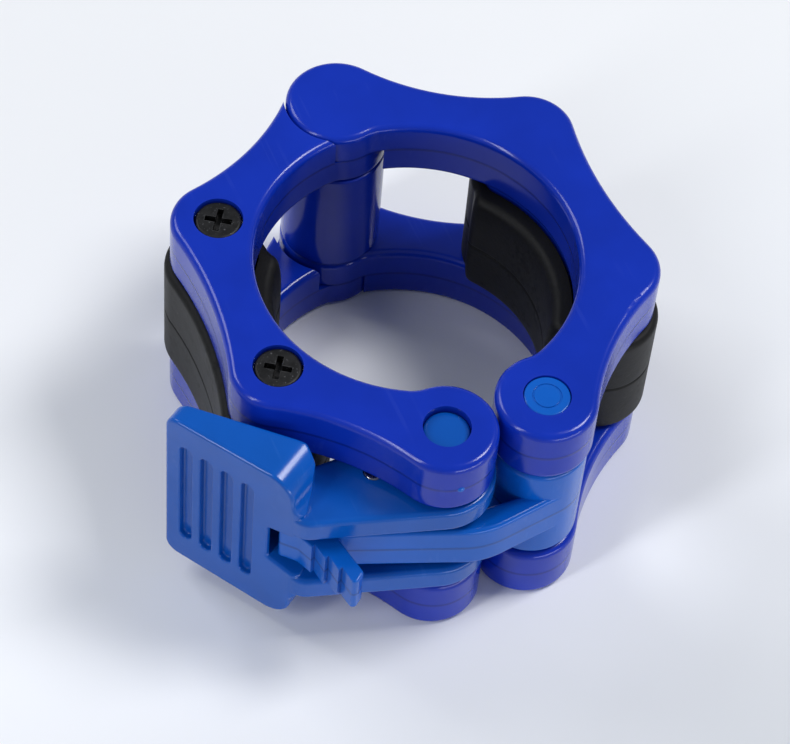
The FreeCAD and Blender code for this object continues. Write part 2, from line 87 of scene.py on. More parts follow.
def mesh_object(name, points, faces, smooth_angle=40.0):
    """A named object at the world origin from a grid of points and rows of point numbers for faces.

    Its shading is smooth, but for edges that turn by more than the angle in degrees."""
    mesh = bpy.data.meshes.new(name)
    mesh.from_pydata(points.reshape(-1, 3).tolist(), [], list(faces))
    mesh.update()
    mesh.shade_smooth()
    mesh.set_sharp_from_angle(angle=math.radians(smooth_angle))
    piece = bpy.data.objects.new(name, mesh)
    bpy.context.scene.collection.objects.link(piece)
    print(name, "faces", len(mesh.polygons))
    return piece


# %% [markdown]
# ## Small tools for materials
# A material is a tree of nodes. Effects that several finishes share, such as the skin of a
# moulding or the rub along an edge, are node groups: made once, with named sockets, and set
# with other values in each material. A group puts out masks and heights only; the shader
# itself stays in the material.

# %% Build a node group and wire nodes


def new_group(name, inputs, outputs):
    """An empty node group with named input values and output kinds, and its two end nodes."""
    group = bpy.data.node_groups.new(name, "ShaderNodeTree")
    for label, kind, value in inputs:
        socket = group.interface.new_socket(name=label, in_out="INPUT", socket_type=kind)
        if value is not None:
            socket.default_value = value
    for label, kind in outputs:
        group.interface.new_socket(name=label, in_out="OUTPUT", socket_type=kind)
    return group, group.nodes.new("NodeGroupInput"), group.nodes.new("NodeGroupOutput")


def wire(tree, source, target):
    """Joins an output socket, or sets a plain value, to an input socket."""
    if isinstance(source, (int, float, tuple)):
        target.default_value = source
    else:
        tree.links.new(source, target)


def maths(tree, operation, first, second=0.0, clamp=False):
    """One Math node and its result."""
    node = tree.nodes.new("ShaderNodeMath")
    node.operation = operation
    node.use_clamp = clamp
    wire(tree, first, node.inputs[0])
    wire(tree, second, node.inputs[1])
    return node.outputs[0]


def ramp(tree, value, start, end, low=0.0, high=1.0):
    """Carries a value smoothly from low to high as it goes from start to end."""
    node = tree.nodes.new("ShaderNodeMapRange")
    node.interpolation_type = "SMOOTHSTEP"
    for socket, source in zip(node.inputs, (value, start, end, low, high)):
        wire(tree, source, socket)
    return node.outputs[0]


def noise(tree, position, scale, detail=2.0, roughness=0.5,
          stretch=(1.0, 1.0, 1.0), turn=(0.0, 0.0, 0.0)):
    """Noise with so many waves a metre, drawn out along an axis where stretch is below one."""
    mapping = tree.nodes.new("ShaderNodeMapping")
    mapping.inputs["Scale"].default_value = stretch
    mapping.inputs["Rotation"].default_value = turn
    wire(tree, position, mapping.inputs["Vector"])
    node = tree.nodes.new("ShaderNodeTexNoise")
    wire(tree, mapping.outputs[0], node.inputs["Vector"])
    wire(tree, scale, node.inputs["Scale"])
    node.inputs["Detail"].default_value = detail
    node.inputs["Roughness"].default_value = roughness
    return node.outputs["Fac"]


def levelness(tree):
    """How far the surface lies level: nought on an upright wall, one on a flat top or underside."""
    facing = tree.nodes.new("ShaderNodeNewGeometry")
    tilt = tree.nodes.new("ShaderNodeSeparateXYZ")
    wire(tree, facing.outputs["Normal"], tilt.inputs[0])
    return maths(tree, "ABSOLUTE", tilt.outputs["Z"])


# %% [markdown]
# ## The skin of a moulding
# Glossy injection moulded plastic is never a perfect mirror. It has a faint orange peel of a few
# millimetres, a finer grain from the tool, slow changes of tone where the melt flowed, and
# hairline scratches from handling. The group below gives these as one height, one tone and one
# scratch mask. Noise on Object coordinates in metres keeps every feature at its real size.

# %% Make the moulded skin group

PEEL_SCALE = 260.0                # waves of orange peel a metre
GRAIN_SCALE = 2600.0              # grains from the tool a metre
GRAIN_SHARE = 0.12                # how high the grain stands beside the peel
FLOW_SCALE = 55.0                 # slow changes of tone a metre
HAIR_SCALE = 900.0                # hairline scratches a metre, before they are thinned out
HAIR_STRETCH = (1.0, 0.03, 0.4)
HAIR_TURNS = (0.4, 1.5, 2.6)      # three directions, in radians
HAIR_LIMITS = (0.735, 0.775)      # only the peaks of the noise between these become hairs
PATCH_SCALE = 90.0                # scratched patches a metre
PATCH_LIMITS = (0.48, 0.62)

moulded_skin, ends_in, ends_out = new_group(
    "moulded_skin",
    [("Position", "NodeSocketVector", None), ("Peel", "NodeSocketFloat", 1.0),
     ("Scratches", "NodeSocketFloat", 1.0)],
    [("Height", "NodeSocketFloat"), ("Tone", "NodeSocketFloat"), ("Scratch", "NodeSocketFloat")])
place = ends_in.outputs["Position"]
waves = noise(moulded_skin, place, PEEL_SCALE, 1.0)
peel = maths(moulded_skin, "MULTIPLY", waves, ends_in.outputs["Peel"])
grain = maths(moulded_skin, "MULTIPLY", noise(moulded_skin, place, GRAIN_SCALE), GRAIN_SHARE)
wire(moulded_skin, maths(moulded_skin, "ADD", peel, grain), ends_out.inputs["Height"])
wire(moulded_skin, noise(moulded_skin, place, FLOW_SCALE, 3.0, 0.6), ends_out.inputs["Tone"])
hairs = None
for angle in HAIR_TURNS:
    streak = noise(moulded_skin, place, HAIR_SCALE, 0.0, 0.5, HAIR_STRETCH, (0.3, angle / 3, angle))
    thin = ramp(moulded_skin, streak, *HAIR_LIMITS)
    hairs = thin if hairs is None else maths(moulded_skin, "MAXIMUM", hairs, thin)
patches = ramp(moulded_skin, noise(moulded_skin, place, PATCH_SCALE), *PATCH_LIMITS)
kept = maths(moulded_skin, "MULTIPLY", hairs, patches)
scratches = maths(moulded_skin, "MULTIPLY", kept, ends_in.outputs["Scratches"], True)
wire(moulded_skin, scratches, ends_out.inputs["Scratch"])
print("group", moulded_skin.name)

# %% [markdown]
# ## Rub along the edges
# Hands and plates polish the corners of a collar first. The Bevel node bends the normal near an
# edge, and how far it bends says how close the edge is. Broken up by noise, that is a wear mask.

# %% Make the edge rub group

BEVEL_SAMPLES = 4
EDGE_LIMITS = (0.995, 0.93)       # cosine of the bend where the rub starts and where it is full
BREAK_SCALE = 320.0               # gaps in the rub a metre
BREAK_LIMITS = (0.42, 0.62)

edge_rub, ends_in, ends_out = new_group(
    "edge_rub",
    [("Position", "NodeSocketVector", None), ("Reach", "NodeSocketFloat", 0.7 * mm)],
    [("Mask", "NodeSocketFloat")])
bent = edge_rub.nodes.new("ShaderNodeBevel")
bent.samples = BEVEL_SAMPLES
wire(edge_rub, ends_in.outputs["Reach"], bent.inputs["Radius"])
flat = edge_rub.nodes.new("ShaderNodeNewGeometry")
agree = edge_rub.nodes.new("ShaderNodeVectorMath")
agree.operation = "DOT_PRODUCT"
wire(edge_rub, bent.outputs[0], agree.inputs[0])
wire(edge_rub, flat.outputs["Normal"], agree.inputs[1])
near_edge = ramp(edge_rub, agree.outputs["Value"], *EDGE_LIMITS)
gaps = noise(edge_rub, ends_in.outputs["Position"], BREAK_SCALE, 3.0, 0.65)
broken = ramp(edge_rub, gaps, *BREAK_LIMITS)
wire(edge_rub, maths(edge_rub, "MULTIPLY", near_edge, broken), ends_out.inputs["Mask"])
print("group", edge_rub.name)

# %% [markdown]
# ## The line where two mould halves met
# Every moulding has a parting line: a fine ridge where the halves of its tool closed. On the rims
# it runs all round, three quarters of the way from the collar's mid plane to its face, and on the
# link and the rubber grips it runs along the mid plane itself. The line is drawn at a set distance
# from that plane, wanders a little, and shows only on walls that face sideways.

# %% Make the parting line group

LINE_WANDER = 0.25 * mm
WANDER_SCALE = 180.0              # bends of the line a metre
STEP_HALF_WIDTH = 0.05 * mm       # the two mould halves stand apart by a tiny step

parting_line, ends_in, ends_out = new_group(
    "parting_line",
    [("Position", "NodeSocketVector", None), ("Level", "NodeSocketFloat", 0.0),
     ("Width", "NodeSocketFloat", 0.12 * mm)],
    [("Mask", "NodeSocketFloat"), ("Above", "NodeSocketFloat")])
place = ends_in.outputs["Position"]
split = parting_line.nodes.new("ShaderNodeSeparateXYZ")
wire(parting_line, place, split.inputs[0])
bends = maths(parting_line, "SUBTRACT", noise(parting_line, place, WANDER_SCALE), 0.5)
height = maths(parting_line, "ABSOLUTE", split.outputs["Z"])
offset = maths(parting_line, "SUBTRACT", height, ends_in.outputs["Level"])
offset = maths(parting_line, "ADD", offset, maths(parting_line, "MULTIPLY", bends, LINE_WANDER))
far_off = maths(parting_line, "ABSOLUTE", offset)
distance = maths(parting_line, "DIVIDE", far_off, ends_in.outputs["Width"])
line = ramp(parting_line, distance, 1.0, 0.3)
sideways = ramp(parting_line, levelness(parting_line), 0.5, 0.2)
wire(parting_line, maths(parting_line, "MULTIPLY", line, sideways), ends_out.inputs["Mask"])
side = ramp(parting_line, offset, -STEP_HALF_WIDTH, STEP_HALF_WIDTH)
wire(parting_line, maths(parting_line, "MULTIPLY", side, sideways), ends_out.inputs["Above"])
print("group", parting_line.name)

# %% [markdown]
# ## Two blue plastics
# Both are the same kind of plastic, glossy and full of colour. Light passes a little way into it,
# but the collar's walls are thick, so a plain diffuse base under a clear gloss gives the look at a
# fraction of the time that scattering below the surface would take. The jaws are a deep royal
# blue; the lever and the link a brighter one, the lever's copy painted darker as shade. Scratches
# and rubbed edges come out paler and duller, and the parting line is a fine ridge whose dark
# hairline is painted shade.

# %% Blend two colours and start a material


def mix_colour(tree, factor, first, second):
    """A blend of two colours by a mask."""
    node = tree.nodes.new("ShaderNodeMix")
    node.data_type = "RGBA"
    wire(tree, factor, node.inputs["Factor"])
    wire(tree, first, node.inputs["A"])
    wire(tree, second, node.inputs["B"])
    return node.outputs["Result"]


def new_material(name):
    """An empty material with its shader, and the tree it sits in."""
    material = bpy.data.materials.new(name)
    material.use_nodes = True
    return material, material.node_tree, material.node_tree.nodes["Principled BSDF"]


def add_bump(tree, shader, height, strength, distance):
    """Bends the shader's normal by a height that stands as far out as the distance says."""
    bump = tree.nodes.new("ShaderNodeBump")
    bump.inputs["Strength"].default_value = strength
    bump.inputs["Distance"].default_value = distance
    wire(tree, height, bump.inputs["Height"])
    wire(tree, bump.outputs[0], shader.inputs["Normal"])


# %% Make the blue plastics

# The parting line's dark hairline is painted shade over its fine ridge; the ridge itself is a bump.
LINE_WIDTH = 0.45 * mm
LINE_SHADE_SHOWS = 0.8                  # how much of the dark tone the parting line takes
MARKS_SHOW = 0.05                 # how much of the pale tone the rub and the scratches take
DULLER = 0.06                     # how much the roughness rises with the slow tone
PLASTIC_IOR = 1.4
RELIEF_STRENGTH = 0.22
RELIEF = 0.03 * mm
RIDGE_HEIGHT = 2.2                # ridge, step and scratch in parts of the relief
STEP_HEIGHT = 1.8
SCRATCH_DEPTH = -0.25


def blue_plastic(name, colour, pale, line_level, gloss):
    """Moulded blue plastic with its skin, edge rub and a parting line at one level."""
    material, tree, shader = new_material(name)
    position = tree.nodes.new("ShaderNodeTexCoord").outputs["Object"]
    skin, rub, parting = (tree.nodes.new("ShaderNodeGroup") for _ in range(3))
    skin.node_tree, rub.node_tree, parting.node_tree = moulded_skin, edge_rub, parting_line
    for part in (skin, rub, parting):
        wire(tree, position, part.inputs["Position"])
    parting.inputs["Level"].default_value = line_level
    parting.inputs["Width"].default_value = LINE_WIDTH
    deep, line_shade = (tuple(c * share for c in colour[:3]) + (1.0,) for share in (0.86, 0.5))
    toned = mix_colour(tree, ramp(tree, skin.outputs["Tone"], 0.3, 0.7), deep, colour)
    # Painted shade: the parting line is darkened in colour.
    line = maths(tree, "MULTIPLY", parting.outputs["Mask"], LINE_SHADE_SHOWS)
    line_shaded = mix_colour(tree, line, toned, line_shade)
    worn = maths(tree, "MULTIPLY", rub.outputs["Mask"], MARKS_SHOW)
    scratched = maths(tree, "MULTIPLY", skin.outputs["Scratch"], MARKS_SHOW)
    marks = maths(tree, "MAXIMUM", worn, scratched)
    wire(tree, mix_colour(tree, marks, line_shaded, pale), shader.inputs["Base Color"])
    dull = ramp(tree, skin.outputs["Tone"], 0.35, 0.75, gloss, gloss + DULLER)
    dull = maths(tree, "ADD", dull, maths(tree, "MULTIPLY", marks, 0.5))
    wire(tree, dull, shader.inputs["Roughness"])
    shader.inputs["IOR"].default_value = PLASTIC_IOR
    ridge = maths(tree, "MULTIPLY", parting.outputs["Mask"], RIDGE_HEIGHT)
    step = maths(tree, "MULTIPLY", parting.outputs["Above"], STEP_HEIGHT)
    cut = maths(tree, "MULTIPLY", skin.outputs["Scratch"], SCRATCH_DEPTH)
    raised = maths(tree, "ADD", skin.outputs["Height"], ridge)
    relief = maths(tree, "ADD", raised, maths(tree, "ADD", step, cut))
    add_bump(tree, shader, relief, RELIEF_STRENGTH, RELIEF)
    return material


JAW_BLUE = (0.003, 0.028, 0.41, 1.0)
JAW_PALE = (0.08, 0.14, 0.62, 1.0)
# The lever's blue is the link's blue painted darker: a shaded copy, painted shade over the lever.
LEVER_SHADED_BLUE = (0.002, 0.090, 0.45, 1.0)
LINK_BLUE = (0.002, 0.108, 0.53, 1.0)
LATCH_PALE = (0.10, 0.28, 0.72, 1.0)
RIM_LINE_LEVEL = rim_top * 0.75
NO_LINE = 1.0                     # a level far above the collar, for a piece without the line
GLOSS = 0.16
jaw_plastic = blue_plastic("jaw_plastic", JAW_BLUE, JAW_PALE, RIM_LINE_LEVEL, GLOSS)
lever_shaded_plastic = blue_plastic("lever_shaded_plastic", LEVER_SHADED_BLUE, LATCH_PALE, NO_LINE, GLOSS)
link_plastic = blue_plastic("link_plastic", LINK_BLUE, LATCH_PALE, 0.0, GLOSS)
print("plastics:", jaw_plastic.name, lever_shaded_plastic.name, link_plastic.name)

# %% [markdown]
# ## Black rubber
# The grips are moulded rubber: black and matt, with a fine grain. On the upright outer faces of the
# straps the colour is a painted sheen, a grey for the bright floor they reflect, with the rubber's
# own bloom in patches and a little dust; in the bore and on the rolled edges it is painted deep
# black as shade. The seam of its mould is painted blacker still, as the shade in its notch. Its
# gloss is broad and weak, so the shader is rough with a trace of sheen.

# %% Find the outer upright faces of the rubber, which get the painted sheen and the dust

# Beyond this distance from the axis, upright faces get the painted sheen and the dust.
OUTSIDE_FROM = 28 * mm            # beyond this distance from the axis the rubber is handled
OUTSIDE_FADE = 3 * mm
rubber, tree, shader = new_material("grip_rubber")
position = tree.nodes.new("ShaderNodeTexCoord").outputs["Object"]
in_plan = tree.nodes.new("ShaderNodeVectorMath")
in_plan.operation = "MULTIPLY"
wire(tree, position, in_plan.inputs[0])
in_plan.inputs[1].default_value = (1.0, 1.0, 0.0)
from_axis = tree.nodes.new("ShaderNodeVectorMath")
from_axis.operation = "LENGTH"
wire(tree, in_plan.outputs["Vector"], from_axis.inputs[0])
outside = ramp(tree, from_axis.outputs["Value"], OUTSIDE_FROM, OUTSIDE_FROM + OUTSIDE_FADE)
upright = ramp(tree, levelness(tree), 0.45, 0.1)
sheened_and_dusty = maths(tree, "MULTIPLY", outside, upright)
print("rubber handled beyond %.0f mm from the axis" % (OUTSIDE_FROM / mm))

# %% Mix the rubber's tones and grain

# The deepest black is painted shade for the bore face and the rolled edges, and the plain grey a
# painted sheen of the floor on the outer faces; the bloom patches and the dust are the rubber's
# own.
RUBBER_SHADE_BLACK = (0.0010, 0.0010, 0.0011, 1.0)
RUBBER_SHEEN_GREY = (0.0100, 0.0100, 0.0100, 1.0)
RUBBER_BLOOM = (0.0260, 0.0258, 0.0252, 1.0)
RUBBER_DUST = (0.14, 0.14, 0.145, 1.0)
SEAM_SHADE = (0.0005, 0.0005, 0.0005, 1.0)
BLOOM_SCALE = 150.0               # patches of bloom a metre
MOTTLE_SCALE = 900.0              # small clouds inside them
SPECK_SCALE = 1500.0              # specks of dust
SOFT_SCALE = 350.0                # soft bumps of the skin
FINE_SCALE = 2200.0               # and its fine grain
DUST_SHOWS = 0.4
SEAM_WIDTH = 0.6 * mm
RUBBER_IOR = 1.33
RUBBER_SHEEN = 0.015
SHEEN_SPREAD = 0.45
GRAIN_STRENGTH = 0.6
GRAIN_RELIEF = 0.06 * mm

bloom = ramp(tree, noise(tree, position, BLOOM_SCALE, 5.0, 0.68), 0.38, 0.70)
mottle = ramp(tree, noise(tree, position, MOTTLE_SCALE, 3.0, 0.7), 0.35, 0.68)
patchy = maths(tree, "MULTIPLY", bloom, mottle)
specks = ramp(tree, noise(tree, position, SPECK_SCALE, 1.0, 0.5), 0.73, 0.8)
# Painted sheen grey on the outer faces, broken by patches of the rubber's own bloom.
worn = mix_colour(tree, patchy, RUBBER_SHEEN_GREY, RUBBER_BLOOM)
# Painted shade black inside and on the rolled edges, painted sheen with bloom on the outer faces.
black = mix_colour(tree, sheened_and_dusty, RUBBER_SHADE_BLACK, worn)
dust = maths(tree, "MULTIPLY", maths(tree, "MULTIPLY", specks, sheened_and_dusty), DUST_SHOWS)
dusty = mix_colour(tree, dust, black, RUBBER_DUST)
seam_line = tree.nodes.new("ShaderNodeGroup")
seam_line.node_tree = parting_line
wire(tree, position, seam_line.inputs["Position"])
seam_line.inputs["Width"].default_value = SEAM_WIDTH
in_seam = seam_line.outputs["Mask"]
# The seam is darkened in colour: painted shade in its notch.
wire(tree, mix_colour(tree, in_seam, dusty, SEAM_SHADE), shader.inputs["Base Color"])
matt = ramp(tree, patchy, 0.0, 1.0, 0.56, 0.72)
wire(tree, maths(tree, "MAXIMUM", matt, in_seam), shader.inputs["Roughness"])
shader.inputs["Sheen Weight"].default_value = RUBBER_SHEEN
shader.inputs["Sheen Roughness"].default_value = SHEEN_SPREAD
shader.inputs["IOR"].default_value = RUBBER_IOR
fine = noise(tree, position, FINE_SCALE, 3.0, 0.6)
soft = maths(tree, "MULTIPLY", noise(tree, position, SOFT_SCALE, 3.0, 0.6), 2.0)
add_bump(tree, shader, maths(tree, "ADD", fine, soft), GRAIN_STRENGTH, GRAIN_RELIEF)
print("material", rubber.name)

# %% [markdown]
# ## Screws and pins
# The screws are steel with a dull black oxide skin, rubbed along the edges of the head and the
# cross and dotted with specks of bare metal and dust. The two pins are plain ground steel; only
# their ends ever show. One function makes both, with other values.

# %% Make the metals

RUB_REACH = 0.25 * mm
RUB_SHOWS = 0.4
METAL_MOTTLE_SCALE = 700.0        # clouds in the skin a metre
METAL_SPECK_SCALE = 2600.0
METAL_GRAIN_SCALE = 1900.0
METAL_DULLER = 0.14
METAL_STRENGTH = 0.5
METAL_RELIEF = 0.03 * mm


def steel(name, colour, bright, roughness, metallic_skin, dust):
    """Dark or plain steel with a fine grain, rubbed edges and a share of bright specks."""
    material, tree, shader = new_material(name)
    position = tree.nodes.new("ShaderNodeTexCoord").outputs["Object"]
    rub = tree.nodes.new("ShaderNodeGroup")
    rub.node_tree = edge_rub
    wire(tree, position, rub.inputs["Position"])
    rub.inputs["Reach"].default_value = RUB_REACH
    mottle = noise(tree, position, METAL_MOTTLE_SCALE, 3.0, 0.6)
    duller = tuple(c * 0.6 for c in colour[:3]) + (1.0,)
    base = mix_colour(tree, ramp(tree, mottle, 0.35, 0.65), duller, colour)
    specks = ramp(tree, noise(tree, position, METAL_SPECK_SCALE, 1.0, 0.5), 0.66, 0.74)
    rubbed = maths(tree, "MULTIPLY", rub.outputs["Mask"], RUB_SHOWS)
    shown = maths(tree, "MAXIMUM", rubbed, maths(tree, "MULTIPLY", specks, dust))
    wire(tree, mix_colour(tree, shown, base, bright), shader.inputs["Base Color"])
    shader.inputs["Metallic"].default_value = metallic_skin
    rough = ramp(tree, mottle, 0.3, 0.7, roughness, roughness + METAL_DULLER)
    wire(tree, rough, shader.inputs["Roughness"])
    grain = noise(tree, position, METAL_GRAIN_SCALE, 3.0, 0.65)
    add_bump(tree, shader, grain, METAL_STRENGTH, METAL_RELIEF)
    return material


OXIDE_BLACK = (0.008, 0.008, 0.009, 1.0)
OXIDE_RUBBED = (0.16, 0.16, 0.17, 1.0)
STEEL_GREY = (0.56, 0.56, 0.58, 1.0)
STEEL_BRIGHT = (0.75, 0.75, 0.76, 1.0)
black_screw = steel("black_screw", OXIDE_BLACK, OXIDE_RUBBED,
                    roughness=0.4, metallic_skin=0.4, dust=0.6)
steel_pin = steel("steel_pin", STEEL_GREY, STEEL_BRIGHT,
                  roughness=0.22, metallic_skin=1.0, dust=0.0)
print("metals:", black_screw.name, steel_pin.name)

# %% [markdown]
# ## Finishes for the pieces of the frame
# The rigid pieces come with the frame, at their real shape and place. Their meshes are left as
# they are: each only gets the finish of what it is made of. The hinge spacer is moulded in the
# blue of the jaws, and the two parts of the latch share a brighter blue.

# %% Give every rigid piece its finish

FINISHES = {
    "link_jaw_frame": jaw_plastic,
    "link_jaw_side_plate": jaw_plastic,
    "lever_jaw_frame": jaw_plastic,
    "lever_jaw_side_plate": jaw_plastic,
    "hinge_spacer": jaw_plastic,
    "link_jaw_screws": black_screw,
    "lever_jaw_screws": black_screw,
    "hinge_pin": steel_pin,
    "link_pin": steel_pin,
    "lever": lever_shaded_plastic,
    "latch_link": link_plastic,
}
for name, material in FINISHES.items():
    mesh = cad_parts[name].data
    mesh.materials.clear()
    mesh.materials.append(material)
print("finished pieces:", len(FINISHES))

# %% [markdown]
# ## The rubber grips
# Each grip is one loop of rubber, pulled like a sleeve over the web and the two screw posts of its
# jaw. Inside the bore it is the soft face that holds the bar, outside it shows as a strap between
# the rims. The frame holds it pressed flat on a 50 mm sleeve; here it is drawn free, so its inner
# face swells some millimetres into the bore. The plan is a closed chain of arcs, each tangent to
# the next, and the loop is that plan carried round with a rounded wall as its section.

# %% Trace the plan of a grip as a chain of tangent arcs

near_post = (32.55 * mm, math.radians(66.1))
far_post = (33.55 * mm, math.radians(122.8))
end_radius = 9.0 * mm             # round the posts
corner_radius = 4.5 * mm          # from the posts into the bore
strap_hollow = 64.0 * mm          # the hollow curve of the strap outside
grip_bore = 25.0 * mm
arc_points = 200                  # points worked out on each arc
loop_count = 380                  # even points kept round the loop


def plan_point(place):
    """The point at a distance and an angle from the closure line, on the link jaw's side."""
    reach, angle = place
    return np.array([reach * math.sin(angle), -reach * math.cos(angle)])


def meeting(first, reach_1, second, reach_2, side):
    """The point at given distances from two centres.

    It lies along their line by the law of cosines, and off it to one side by what is left."""
    line = second - first
    gap = np.hypot(*line)
    along = (reach_1 ** 2 - reach_2 ** 2 + gap ** 2) / (2 * gap)
    off = math.sqrt(reach_1 ** 2 - along ** 2)
    return first + line * along / gap + np.array([-line[1], line[0]]) * side * off / gap


near, far, bore = plan_point(near_post), plan_point(far_post), np.zeros(2)
grip_chain = [
    (near, end_radius),
    (meeting(near, end_radius + strap_hollow, far, end_radius + strap_hollow, -1), -strap_hollow),
    (far, end_radius),
    (meeting(bore, grip_bore + corner_radius, far, end_radius - corner_radius, 1), corner_radius),
    (bore, -grip_bore),
    (meeting(bore, grip_bore + corner_radius, near, end_radius - corner_radius, -1), corner_radius),
]


def chain_curve(chain, count):
    """Points evenly spaced round a chain of tangent arcs, with outward normals.

    Two arcs meet on the line through their centres. Each arc turns left where its radius is
    positive and right where it is negative, and the normal points away from a positive centre."""
    joints = []
    for (centre_1, radius_1), (centre_2, radius_2) in zip(chain[-1:] + chain[:-1], chain):
        if radius_1 * radius_2 < 0:
            share = abs(radius_1) / (abs(radius_1) + abs(radius_2))
            joints.append(centre_1 + (centre_2 - centre_1) * share)
        else:
            circles = ((centre_1, radius_1), (centre_2, radius_2))
            big, small = sorted(circles, key=lambda circle: -abs(circle[1]))
            ray = small[0] - big[0]
            joints.append(big[0] + ray * abs(big[1]) / np.hypot(*ray))
    points, normals = [], []
    for index, (centre, radius) in enumerate(chain):
        start, end = joints[index] - centre, joints[(index + 1) % len(chain)] - centre
        angle_1, angle_2 = (math.atan2(v[1], v[0]) for v in (start, end))
        sweep = (angle_2 - angle_1) % math.tau
        sweep = sweep if radius > 0 else sweep - math.tau
        angles = angle_1 + sweep * np.linspace(0, 1, arc_points, endpoint=False)
        spokes = np.stack([np.cos(angles), np.sin(angles)], axis=1)
        points.append(centre + spokes * abs(radius))
        normals.append(spokes * math.copysign(1, radius))
    points, normals = np.concatenate(points), np.concatenate(normals)
    steps = np.hypot(*(np.roll(points, -1, axis=0) - points).T)
    travelled = np.concatenate([[0], np.cumsum(steps)])
    wanted = np.linspace(0, travelled[-1], count, endpoint=False)
    closed_points, closed_normals = (np.concatenate([a, a[:1]]) for a in (points, normals))
    even, outward = (np.stack([np.interp(wanted, travelled, line[:, k]) for k in (0, 1)], axis=1)
                     for line in (closed_points, closed_normals))
    return even, outward / np.hypot(*outward.T)[:, None], travelled[-1]


loop_points, loop_normals, loop_length = chain_curve(grip_chain, loop_count)
print("a grip's loop is %.1f mm round" % (loop_length / mm))

# %% [markdown]
# The section of the wall runs up the outer face, over a soft edge, across the end, down the face
# that lies on the web and back. Small things make it rubber and not plastic: the free face is
# crowned, the edges wander a little, a ragged seam from the mould runs round at mid height, and a
# torn pit marks the place where the rubber was fed in.

# %% Set the measures of the wall and its flaws

wall = 1.9 * mm
edge_round = 1.3 * mm
free_swell = 2.1 * mm
facing_bore = (0.72, 0.995)       # cosines between which the free swell grows to its full height
crown_drop = 0.45                 # how much of the swell is lost towards the edges
seam_depth = 0.4 * mm
seam_half_width = 0.24 * mm
close_rows = 0.045                # share of the half height with close rows for the seam
wide_rows = 0.07                  # and the share from which the rows are wide apart again
ragged_terms = (7, 13, 29, 41)    # waves round the loop that make the seam ragged
ragged_limits = (0.15, 1.6)
wobble_depth = 0.07 * mm
wobble_terms = (2, 3, 5, 9)
edge_wander_height = 0.1 * mm
edge_wander_terms = (4, 7, 11, 17)
pit_depth = 0.55 * mm
pit_radius = 0.7 * mm
pit_share = 0.035                 # how far round the loop the pit lies
pit_star = 0.45                   # how far its three points stand out


def smooth_step(value, start, end):
    """Nought below start, one above end, eased between."""
    t = np.clip((value - start) / (end - start), 0, 1)
    return t * t * (3 - 2 * t)


def slow_wave(angle, phase, terms):
    """A gentle uneven wave round a loop: a sum of sines of whole numbers of turns."""
    return sum(np.sin(n * angle + phase * (n + 1)) / n for n in terms)


# %% Carry the wall round the loop


def grip_surface(points, normals, phase):
    """The closed wall of one grip as a grid: place round the loop by place round the section.

    A section point has a height and a depth behind the outer face. The outer face is moved out
    by the free swell where the loop faces the bore, times one less the fourth power of its
    relative height, which crowns it. The seam is a notch at mid height whose depth falls off as a
    bell curve, and the pit is a bell curve too, over a radius that three waves make a star."""
    rise = np.concatenate([np.linspace(-1, -wide_rows, 17), np.linspace(-close_rows, close_rows, 9),
                           np.linspace(wide_rows, 1, 17)])
    heights = rise * (grip_half - edge_round)
    bend = np.linspace(0, math.pi / 2, 7)[1:]
    top_z = grip_half - edge_round + edge_round * np.sin(bend)
    top_depth = edge_round * (1 - np.cos(bend))
    section_z = np.concatenate([heights, top_z, [grip_half, grip_half],
                                [-grip_half, -grip_half], -top_z[::-1]])
    section_depth = np.concatenate([np.zeros(len(heights)), top_depth, [wall * 0.85, wall],
                                    [wall, wall * 0.85], top_depth[::-1]])
    turn = np.linspace(0, math.tau, len(points), endpoint=False)[:, None]
    reach = np.hypot(*points.T)[:, None]
    inward = -(points * normals).sum(axis=1)[:, None] / reach
    swell = free_swell * smooth_step(inward, *facing_bore)
    outer = section_depth < wall * 0.8
    crown = np.where(outer, 1 - crown_drop * np.abs(section_z / grip_half) ** 4, 0.0)[None, :]
    lift = swell * crown
    ragged = np.clip(0.6 + 0.4 * slow_wave(turn, phase, ragged_terms), *ragged_limits)
    seam = np.exp(-(section_z / seam_half_width) ** 2)[None, :] * outer * seam_depth * ragged
    wobble = wobble_depth * slow_wave(turn, phase + 1, wobble_terms) * outer
    edge_wander = edge_wander_height * slow_wave(turn, phase + 2, edge_wander_terms)
    edge_wander = edge_wander * (np.abs(section_z) / grip_half) ** 6
    from_pit = (turn / math.tau - pit_share) * loop_length
    away = np.hypot(from_pit, section_z[None, :] * 1.1)
    angle = np.arctan2(section_z[None, :], from_pit)
    star = pit_radius * (1 + pit_star * np.cos(3 * angle + 0.6))
    pit = pit_depth * np.exp(-(away / star) ** 2) * outer
    depth = section_depth[None, :] - lift - wobble + seam + pit
    plan = points[:, None, :] - normals[:, None, :] * depth[:, :, None]
    z = section_z[None, :] - np.sign(section_z)[None, :] * np.abs(edge_wander)
    return np.concatenate([plan, np.broadcast_to(z, depth.shape)[:, :, None]], axis=2)


def make_grip(name, body, node, turned, phase):
    """One grip in place: drawn on the link jaw, or turned half a turn about Y for the lever jaw."""
    grid = grip_surface(loop_points, loop_normals, phase)
    if turned:
        grid = grid * np.array([-1.0, 1.0, -1.0])
    piece = mesh_object(name, grid, grid_faces(grid.shape[0], grid.shape[1], True, True))
    piece.data.materials.append(rubber)
    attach(piece, body)
    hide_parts(node)


make_grip("link_grip_sleeve", "link_jaw", "link_jaw_grip_pad", False, 0.7)
make_grip("lever_grip_sleeve", "lever_jaw", "lever_jaw_grip_pad", True, 2.9)

# %% [markdown]
# ## A stray drop of the latch's blue
# A tiny bead of the brighter plastic sits on the outer wall of the lever jaw's closure lobe, right
# on the parting line: a flaw of the moulding shop that a nail would flick off. It is a low dome on
# the wall, drawn as rings about the wall's own direction.

# %% Set the bead on the closure lobe

